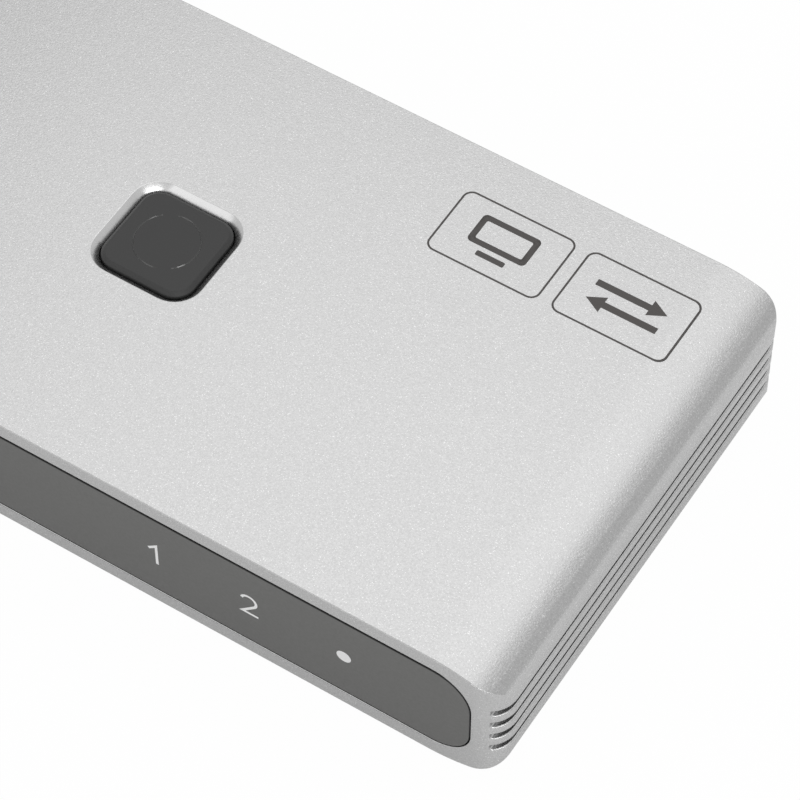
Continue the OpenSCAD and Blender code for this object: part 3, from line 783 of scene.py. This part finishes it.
def front_panel():
    bm = bmesh.new()
    centred = mouth_outline(mouth_w / 2 - panel_hi.x)
    profile = edge_profile(panel_lo.y, panel_hi.y, PANEL_ROUND, PANEL_ROUND)

    def seated(inset):
        return moved(centred(inset), PANEL_SEAT_X, PANEL_SEAT_Z)
    plate(bm, [(seated, profile)], facing_front)
    bm.normal_update()
    for face in bm.faces:
        # Faces that don't face the front take the near-black rim colour, painted shade for the gap round the
        # panel
        if abs(face.normal.y) < FACING_NORMAL:
            face.material_index = 1
    return piece("smoked_panel", bm, "box", (smoked, panel_rim_painted_shade), ("front_panel",))


def print_shapes(name, shapes, place, surface, out, ink, body="box"):
    """Flat printed shapes on a surface; a shape is an outline and any holes in it."""
    bm = bmesh.new()
    for loops in shapes:
        profile = ((0, surface + out * INK_T), (0, surface - out * INK_ROOT))
        plate(bm, [(lambda inset, loop=loop: loop, profile) for loop in loops], place)
    return piece(name, bm, body, (ink,))


def digit_one():
    """Figure one: an upright with a slanted flag."""
    half = DIGIT_H / 2
    flag, flag_dip = 0.85, 0.06
    points = [(-flag, half - flag - flag_dip), (0, half - DIGIT_LINE / 2), (0, -half)]
    return stroke([Vector(p) for p in points], DIGIT_LINE)


def digit_two():
    """Figure two: a bow, a slanted neck and a flat foot."""
    half = DIGIT_H / 2
    bow_x, bow_r = 0.02, 0.78
    foot_left, foot_right = -0.72, 0.98
    bow = Vector((bow_x, half - bow_r - DIGIT_LINE / 2))
    turns = [math.radians(165 - 205 * i / 16) for i in range(17)]
    points = [bow + bow_r * Vector((math.cos(a), math.sin(a))) for a in turns]
    foot = DIGIT_LINE / 2 - half
    points += [Vector((foot_left, foot)), Vector((foot_right, foot))]
    return stroke(points, DIGIT_LINE)


def front_marks():
    surface = panel_lo.y
    marks = (
        ("mark_1", digit_one(), MARK_1_X),
        ("mark_2", digit_two(), MARK_2_X),
        ("mark_power", circle(DOT_D / 2, 40), DOT_X),
    )
    for name, loop, x in marks:
        print_shapes(name, [[moved(loop, x, MARK_Z)]], facing_front, surface, -1, white_ink)


# Printed labels on the top

def label_frame(x):
    """Outlined frame with rounded corners, as an outline and its hole."""
    centre = (x + LABEL_W / 2, LABEL_Y + LABEL_D / 2)
    outer = rounded_rect(LABEL_W, LABEL_D, LABEL_R)
    line = 2 * LABEL_LINE
    inner = rounded_rect(LABEL_W - line, LABEL_D - line, LABEL_R - LABEL_LINE)
    return [moved(outer, *centre), moved(inner, *centre)]


def screen_sign(x, y):
    """Plain screen on a stand."""
    w, h, line = 6.2, 3.5, 0.62
    foot_w, foot_h, neck_h = 3.0, 0.6, 0.5
    lift = (foot_h + neck_h) / 2
    frame_loops = [
        moved(rounded_rect(w, h, 0.5), x, y + lift),
        moved(rounded_rect(w - 2 * line, h - 2 * line, 0.2), x, y + lift),
    ]
    foot = moved(rounded_rect(foot_w, foot_h, 0.15), x, y + lift - h / 2 - neck_h - foot_h / 2)
    return [frame_loops, [foot]]


def arrow_sign(x, y):
    """Two arrows that point opposite ways."""
    reach, neck, line, spread, rise = 3.7, 1.9, 0.72, 0.95, 1.0
    arrow = [(-reach, -line / 2), (neck, -line / 2), (neck, -spread), (reach, 0),
             (neck, spread), (neck, line / 2), (-reach, line / 2)]
    return [[[Vector((x + way * u, y + way * (v + rise))) for u, v in arrow]] for way in (1, -1)]


def top_labels():
    middle = LABEL_Y + LABEL_D / 2
    for number, (x, sign) in enumerate(zip(LABEL_X, (screen_sign, arrow_sign)), 1):
        shapes = [label_frame(x)] + sign(x + LABEL_W / 2, middle)
        print_shapes(f"label_{number}", shapes, facing_up, top_z, 1, dark_ink)


# Button

def ring_depth(turn):
    """Depth of the engraved ring at an angle: it fades out at the two plain stretches."""
    away = abs((turn - RING_TURN + math.pi / 2) % math.pi - math.pi / 2) - RING_BREAK / 2
    return RING_DEPTH * min(max(away / RING_FADE, 0.0), 1.0)


def button():
    arc_steps, side_steps = 8, 18
    top = cap_hi.z
    flange_z = sleeve_hi.z - WALL_T - FLANGE_GAP
    flange_low = flange_z - FLANGE_T
    cap_w = OPENING_W - 2 * CAP_GAP
    cap_r = OPENING_R - CAP_GAP
    cavity_z = top - CAP_TOP_T

    def square(inset, z):
        r = max(cap_r - inset, 0.3)
        side_w = cap_w - 2 * inset
        return [facing_up(p, z) for p in rounded_rect(side_w, side_w, r, arc_steps, side_steps)]

    rays = [p.xy.normalized() for p in square(0, 0)]

    def disc(r, z, sunk=0.0):
        return [facing_up(ray * r, z - sunk * ring_depth(math.atan2(ray.y, ray.x))) for ray in rays]

    line_in = (RING_D - RING_LINE) / 2
    line_out = (RING_D + RING_LINE) / 2
    side = [(CAP_BEVEL + 0.3, top), (CAP_BEVEL, top), (0.0, top - CAP_DROP), (0.0, flange_z)]
    rings = [disc(r, top) for r in (0.4, 1.2, 2.0, 2.7, line_in - RING_WALL)]
    rings += [disc(line_in, top), disc(line_in + RING_WALL, top, 1), disc(line_out - RING_WALL, top, 1)]
    rings += [disc(line_out, top), disc(line_out + RING_WALL, top), disc(line_out + 0.3, top)]
    rings += [square(inset, z) for inset, z in eased([Vector(p) for p in side], CAP_ROUND)]
    rings += [square(-CAP_GAP - FLANGE_LAP, z) for z in (flange_z, flange_low)]
    rings += [square(CAP_SKIRT_T, z) for z in (flange_low, cavity_z)]
    rings += [disc(STEM_D / 2, z) for z in (cavity_z, cap_lo.z)]

    bm = bmesh.new()
    made, bands = loft(bm, rings)
    for band in bands[5:8]:
        for face in band:
            middle = face.calc_center_median()
            if ring_depth(math.atan2(middle.y, middle.x)):
                face.material_index = 1
    for ring in made[5:9]:
        for edge in loop_edges(bm, ring):
            edge.smooth = False
    bm.faces.new(made[0])
    bm.faces.new(made[-1])
    bmesh.ops.recalc_face_normals(bm, faces=bm.faces[:])
    weigh_edges(bm, 1.0, 1.4)
    plastics = (cap_plastic, engraved)
    return piece("button", bm, "button", plastics, ("button_cap",), CAP_SOFT)


def snap_dome():
    """Snap dome of the switch; this mesh keeps its shape and doesn't flatten as the plunger goes down."""
    lo, hi = box_mm("switch_dome")
    height = hi.z - lo.z
    foot_r = hi.x
    sheet_t, top_r, keep = 0.1, 0.6, 0.5
    knee_z = height * 0.62
    outer = [(foot_r, 0.0), ((foot_r + top_r) / 2, knee_z), (top_r, height)]
    inner = [(r - sheet_t, max(z - sheet_t, 0.0)) for r, z in outer]
    bm = bmesh.new()
    made, _ = loft(bm, [[facing_up(p, lo.z + z) for p in circle(r)] for r, z in inner[::-1] + outer])
    bm.faces.new(made[0])
    bm.faces.new(made[-1])
    obj = piece("snap_dome", bm, "box", (plated_steel,), ("switch_dome",))
    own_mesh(obj)


# Rear panel, sockets and screws

def hdmi_outline(w, grow):
    """Opening of an HDMI socket grown on every side, as corners from its lower edge at height 0."""
    half = w / 2
    slant = math.hypot(HDMI_CUT_W, HDMI_CUT_H)
    nx = HDMI_CUT_H / slant
    nz = -HDMI_CUT_W / slant
    low_x = half - HDMI_CUT_W + grow * (1 + nz) / nx
    side_z = (grow - nx * (HDMI_CUT_W + grow)) / nz
    right = [(low_x, -grow), (half + grow, side_z), (half + grow, HDMI_H + grow)]
    corners = [Vector(p) for p in right] + [Vector((-x, z)) for x, z in right[::-1]]
    return rounded_polygon(corners, HDMI_BEND_R + grow)


def hdmi_place(name):
    """Middle of a socket across the width, its opening's lower edge and the opening's width."""
    lo, hi = box_mm(f"{name}_shell")
    width = hi.x - lo.x - 2 * HDMI_SHELL_T
    return (lo.x + hi.x) / 2, hi.z - HDMI_SHELL_T - HDMI_H, width


def solder_tabs(bm, x, half, thick, stations_y, high, low):
    """Solder tabs on both sides of a socket, reaching down through the board."""
    for y in stations_y:
        for side in (-1, 1):
            def outline(inset):
                loop = rounded_rect(thick - 2 * inset, TAB_W - 2 * inset, 0.08, 3)
                return moved(loop, x + side * (half - thick / 2), y)
            plate(bm, [(outline, edge_profile(high, low, 0.0, 0.06, 2))], facing_up)


HDMI_NAMES = ("hdmi_in_1", "hdmi_in_2", "hdmi_out")


def hdmi_shell(name):
    """Folded steel shell of an HDMI socket."""
    lo, hi = box_mm(f"{name}_shell")
    x, low_z, width = hdmi_place(name)

    def outer(inset):
        return moved(hdmi_outline(width, HDMI_SHELL_T - inset), x, low_z)

    def inner(inset):
        return moved(hdmi_outline(width, inset), x, low_z)

    bm = bmesh.new()
    profile = edge_profile(hi.y, lo.y, MOUTH_ROUND, BACK_ROUND)
    plate(bm, [(outer, profile), (inner, profile)], facing_front)
    tab_y = (lo.y + TAB_SETBACK, lo.y + TAB_SETBACK + TAB_STEP)
    solder_tabs(bm, x, width / 2 + HDMI_SHELL_T, HDMI_SHELL_T, tab_y, low_z + HDMI_H / 2, lo.z)
    return piece(f"{name}_socket", bm, "box", (plated_steel,), (f"{name}_shell",))


def usb_place():
    """Middle of the power socket across the width, its middle height and its width."""
    lo, hi = box_mm("power_shell")
    return (lo.x + hi.x) / 2, hi.z - USB_H / 2, hi.x - lo.x


def usb_outline(grow):
    x, z, width = usb_place()
    high = USB_H + 2 * grow
    return moved(rounded_rect(width + 2 * grow, high, high / 2 - 0.001, 14), x, z)


def power_shell():
    """Drawn steel shell of the power socket."""
    lo, hi = box_mm("power_shell")
    x, z, width = usb_place()
    profile = edge_profile(hi.y, lo.y, MOUTH_ROUND * 0.8, BACK_ROUND)
    bm = bmesh.new()
    outside = (lambda inset: usb_outline(-inset), profile)
    inside = (lambda inset: usb_outline(inset - USB_SHELL_T), profile)
    plate(bm, [outside, inside], facing_front)
    solder_tabs(bm, x, width / 2, USB_SHELL_T, (lo.y + TAB_SETBACK,), z, lo.z)
    return piece("power_socket", bm, "box", (plated_steel,), ("power_shell",))


def rear_panel():
    bm = bmesh.new()
    gap = mouth_w / 2 - rear_hi.x
    outside, inside = rear_hi.y, rear_lo.y
    rims = [(mouth_outline(gap), edge_profile(outside, inside, REAR_ROUND, BACK_ROUND))]
    hole_profile = edge_profile(outside, inside, MOUTH_ROUND, 0.0)
    for name in HDMI_NAMES:
        x, low_z, width = hdmi_place(name)

        def cut_out(inset, x=x, low_z=low_z, width=width):
            return moved(hdmi_outline(width, HDMI_SHELL_T + SOCKET_GAP + inset), x, low_z)
        rims.append((cut_out, hole_profile))
    rims.append((lambda inset: usb_outline(SOCKET_GAP + inset), hole_profile))
    head_r = (HEAD_D + SCREW_GAP) / 2
    step_y = outside - HEAD_SINK - HEAD_H
    step_in = CHANNEL_BORE / 2 - head_r
    screw_profile = edge_profile(outside, step_y, MOUTH_ROUND) + [(step_in, step_y), (step_in, inside)]
    for side in (-1, 1):
        def screw_hole(inset, side=side):
            return moved(circle(head_r + inset), side * channel_x, channel_z)
        rims.append((screw_hole, screw_profile))
    plate(bm, rims, facing_front)
    return piece("rear_plate", bm, "box", (black_plastic,), ("rear_panel",))


def cross(inset):
    """Outline of a cross recess, drawn in by an inset."""
    reach = DRIVE_L / 2 + inset
    half = DRIVE_W / 2 + inset
    arm = [(reach, -half), (reach, half), (half, half)]
    return [Matrix.Rotation(math.pi / 2 * turn, 2) @ Vector(p) for turn in range(4) for p in arm]


def screws(name, node, face_y, way, metal):
    """Pair of pan-head screws with cross recesses; way is the direction in which they point."""
    lo, hi = box_mm(node)
    length = hi.y - lo.y
    bm = bmesh.new()
    under = face_y + way * HEAD_H
    shank_in = (HEAD_D - SCREW_D) / 2
    tip = face_y + way * length
    profile = edge_profile(face_y, under, HEAD_ROUND, HEAD_UNDER_ROUND) + [
        (shank_in, under),
        (shank_in, tip - way * SCREW_TIP),
        (HEAD_D / 2 - SCREW_TIP_R, tip),
    ]
    drive = (
        (DRIVE_LIP, face_y),
        (0, face_y + way * DRIVE_LIP),
        (-DRIVE_TAPER, face_y + way * DRIVE_DEPTH),
    )
    for side in (-1, 1):
        def head(inset, side=side):
            return moved(circle(HEAD_D / 2 - inset), side * channel_x, channel_z)

        def recess(inset, side=side):
            return moved(cross(inset), side * channel_x, channel_z)
        plate(bm, [(head, profile)], facing_front, [(recess, drive)])
    return piece(name, bm, "box", (metal,), (node,))


# Feet

def feet():
    """Four round rubber feet with soft lower edges."""
    bm = bmesh.new()
    for x in (feet_lo.x + FOOT_R, feet_hi.x - FOOT_R):
        for y in (feet_lo.y + FOOT_R, feet_hi.y - FOOT_R):
            def outline(inset, x=x, y=y):
                return moved(circle(FOOT_R - inset, 56), x, y)
            plate(bm, [(outline, edge_profile(feet_lo.z, feet_hi.z, FOOT_ROUND, BACK_ROUND, 5))], facing_up)
    return piece("feet", bm, "box", (rubber,), ("rubber_feet",))


# Nodes that keep their own solids

NODE_FINISH = {
    "panel_tape": tape,
    "front_frame": black_plastic,
    "circuit_board": solder_mask,
    "hdmi_in_1_insert": black_plastic,
    "hdmi_in_2_insert": black_plastic,
    "hdmi_out_insert": black_plastic,
    "power_insert": black_plastic,
    "hdmi_in_1_contacts": gold,
    "hdmi_in_2_contacts": gold,
    "hdmi_out_contacts": gold,
    "power_contacts": gold,
    "switch_base": black_plastic,
    "switch_cover": plated_steel,
    "switch_plunger": cap_plastic,
    "switch_terminals": plated_steel,
    "indicator_lamp_1": lamp_epoxy,
    "indicator_lamp_2": lamp_epoxy,
    "power_lamp": lamp_epoxy,
    "switch_chip": chip_epoxy,
    "regulator_chip": chip_epoxy,
    "power_inductor": ferrite,
    "crystal": plated_steel,
    "surge_arrays": chip_epoxy,
    "capacitors": ceramic,
    "resistors": chip_epoxy,
}


def finish_nodes():
    for name, made in NODE_FINISH.items():
        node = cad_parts[name]
        for slot in node.material_slots:
            slot.material = made
        weld = node.modifiers.new("join_corners", "WELD")
        weld.merge_threshold = 0.0005 * MM
        soften(node, NODE_SOFT, 2, "ANGLE")
        even_normals(node)


# Camera, floor and light

def add_camera():
    out = Vector((
        math.sin(VIEW_AZIMUTH) * math.cos(VIEW_ELEVATION),
        -math.cos(VIEW_AZIMUTH) * math.cos(VIEW_ELEVATION),
        math.sin(VIEW_ELEVATION),
    ))
    target = Vector((*VIEW_POINT, sleeve_hi.z))
    data = bpy.data.cameras.new("camera")
    data.lens = VIEW_LENS
    data.sensor_width = VIEW_SENSOR
    data.clip_start = 0.01
    camera = bpy.data.objects.new("camera", data)
    camera.location = (target + out * VIEW_DISTANCE) * MM
    camera.rotation_euler = (-out).to_track_quat("-Z", "Y").to_euler()
    bpy.context.collection.objects.link(camera)
    bpy.context.scene.camera = camera


def floor_material():
    """Pale floor that looks white and still takes a faint shadow."""
    made = bpy.data.materials.new("floor")
    made.use_nodes = True
    tree = made.node_tree
    tree.nodes.clear()
    path = tree.nodes.new("ShaderNodeLightPath")
    rays = (
        ("Is Camera Ray", FLOOR_SEEN_SHARE),
        ("Is Glossy Ray", FLOOR_REFLECTED_SHARE),
        ("Is Transmission Ray", FLOOR_SEEN_SHARE),
    )
    share = None
    for output, level in rays:
        part = tree.nodes.new("ShaderNodeMath")
        part.operation = "MULTIPLY_ADD"
        part.inputs[1].default_value = level
        part.inputs[2].default_value = 0.0
        tree.links.new(path.outputs[output], part.inputs[0])
        if share:
            tree.links.new(share, part.inputs[2])
        share = part.outputs[0]
    diffuse = tree.nodes.new("ShaderNodeBsdfDiffuse")
    diffuse.inputs["Color"].default_value = grey(FLOOR_TONE)
    white = tree.nodes.new("ShaderNodeEmission")
    white.inputs["Strength"].default_value = 1.0
    mix = tree.nodes.new("ShaderNodeMixShader")
    output = tree.nodes.new("ShaderNodeOutputMaterial")
    tree.links.new(share, mix.inputs["Fac"])
    tree.links.new(diffuse.outputs[0], mix.inputs[1])
    tree.links.new(white.outputs[0], mix.inputs[2])
    tree.links.new(mix.outputs[0], output.inputs["Surface"])
    return made


def add_floor():
    half = FLOOR_SIZE / 2
    mesh = bpy.data.meshes.new("floor")
    corners = [(x * half * MM, y * half * MM, -FLOOR_DROP * MM) for x, y in CORNERS]
    mesh.from_pydata(corners, [], [(0, 1, 2, 3)])
    mesh.materials.append(floor_material())
    floor = bpy.data.objects.new("floor", mesh)
    bpy.context.collection.objects.link(floor)


def add_softbox(name, place, facing, size, level):
    """Softbox at a place that faces a direction, as bright as a level."""
    width, height = size
    data = bpy.data.lights.new(name, "AREA")
    data.shape = "RECTANGLE"
    data.size = width * MM
    data.size_y = height * MM
    data.energy = level * math.pi * data.size * data.size_y
    box = bpy.data.objects.new(name, data)
    box.location = Vector(place) * MM
    box.rotation_euler = Vector(facing).to_track_quat("-Z", "Y").to_euler()
    bpy.context.collection.objects.link(box)


def add_world():
    """Even grey surround that looks white behind the floor."""
    world = bpy.data.worlds.new("studio")
    world.use_nodes = True
    tree = world.node_tree
    surround = tree.nodes["Background"]
    surround.inputs["Color"].default_value = grey(SURROUND_LEVEL)
    white = tree.nodes.new("ShaderNodeBackground")
    white.inputs["Color"].default_value = grey(1.0)
    path = tree.nodes.new("ShaderNodeLightPath")
    mix = tree.nodes.new("ShaderNodeMixShader")
    tree.links.new(path.outputs["Is Camera Ray"], mix.inputs["Fac"])
    tree.links.new(surround.outputs[0], mix.inputs[1])
    tree.links.new(white.outputs[0], mix.inputs[2])
    tree.links.new(mix.outputs[0], tree.nodes["World Output"].inputs["Surface"])
    bpy.context.scene.world = world


def add_light():
    add_world()
    add_softbox("overhead", (-40, 225, 600), (0, 0, -1), (680, 550), 0.57)
    add_softbox("overhead_centre", (75, 225, 590), (0, 0, -1), (450, 550), 0.05)
    add_softbox("key", (480, -380, 430), (-480, 380, -420), (800, 80), 4.5)
    add_softbox("front", (-260, -680, 330), (260, 680, -320), (620, 360), 0.5)


sleeve()
sleeve_rails()
front_panel()
front_marks()
top_labels()
button()
snap_dome()
for hdmi_name in HDMI_NAMES:
    hdmi_shell(hdmi_name)
power_shell()
rear_panel()
rear_face = rear_screw_hi.y
front_face = box_mm("front_screws")[0].y
screws("rear_screw_pair", "rear_screws", rear_face, -1, black_steel)
screws("front_screw_pair", "front_screws", front_face, 1, plated_steel)
feet()
finish_nodes()
add_camera()
add_floor()
add_light()

bpy.context.scene.view_settings.view_transform = "Standard"

bpy.context.view_layer.update()
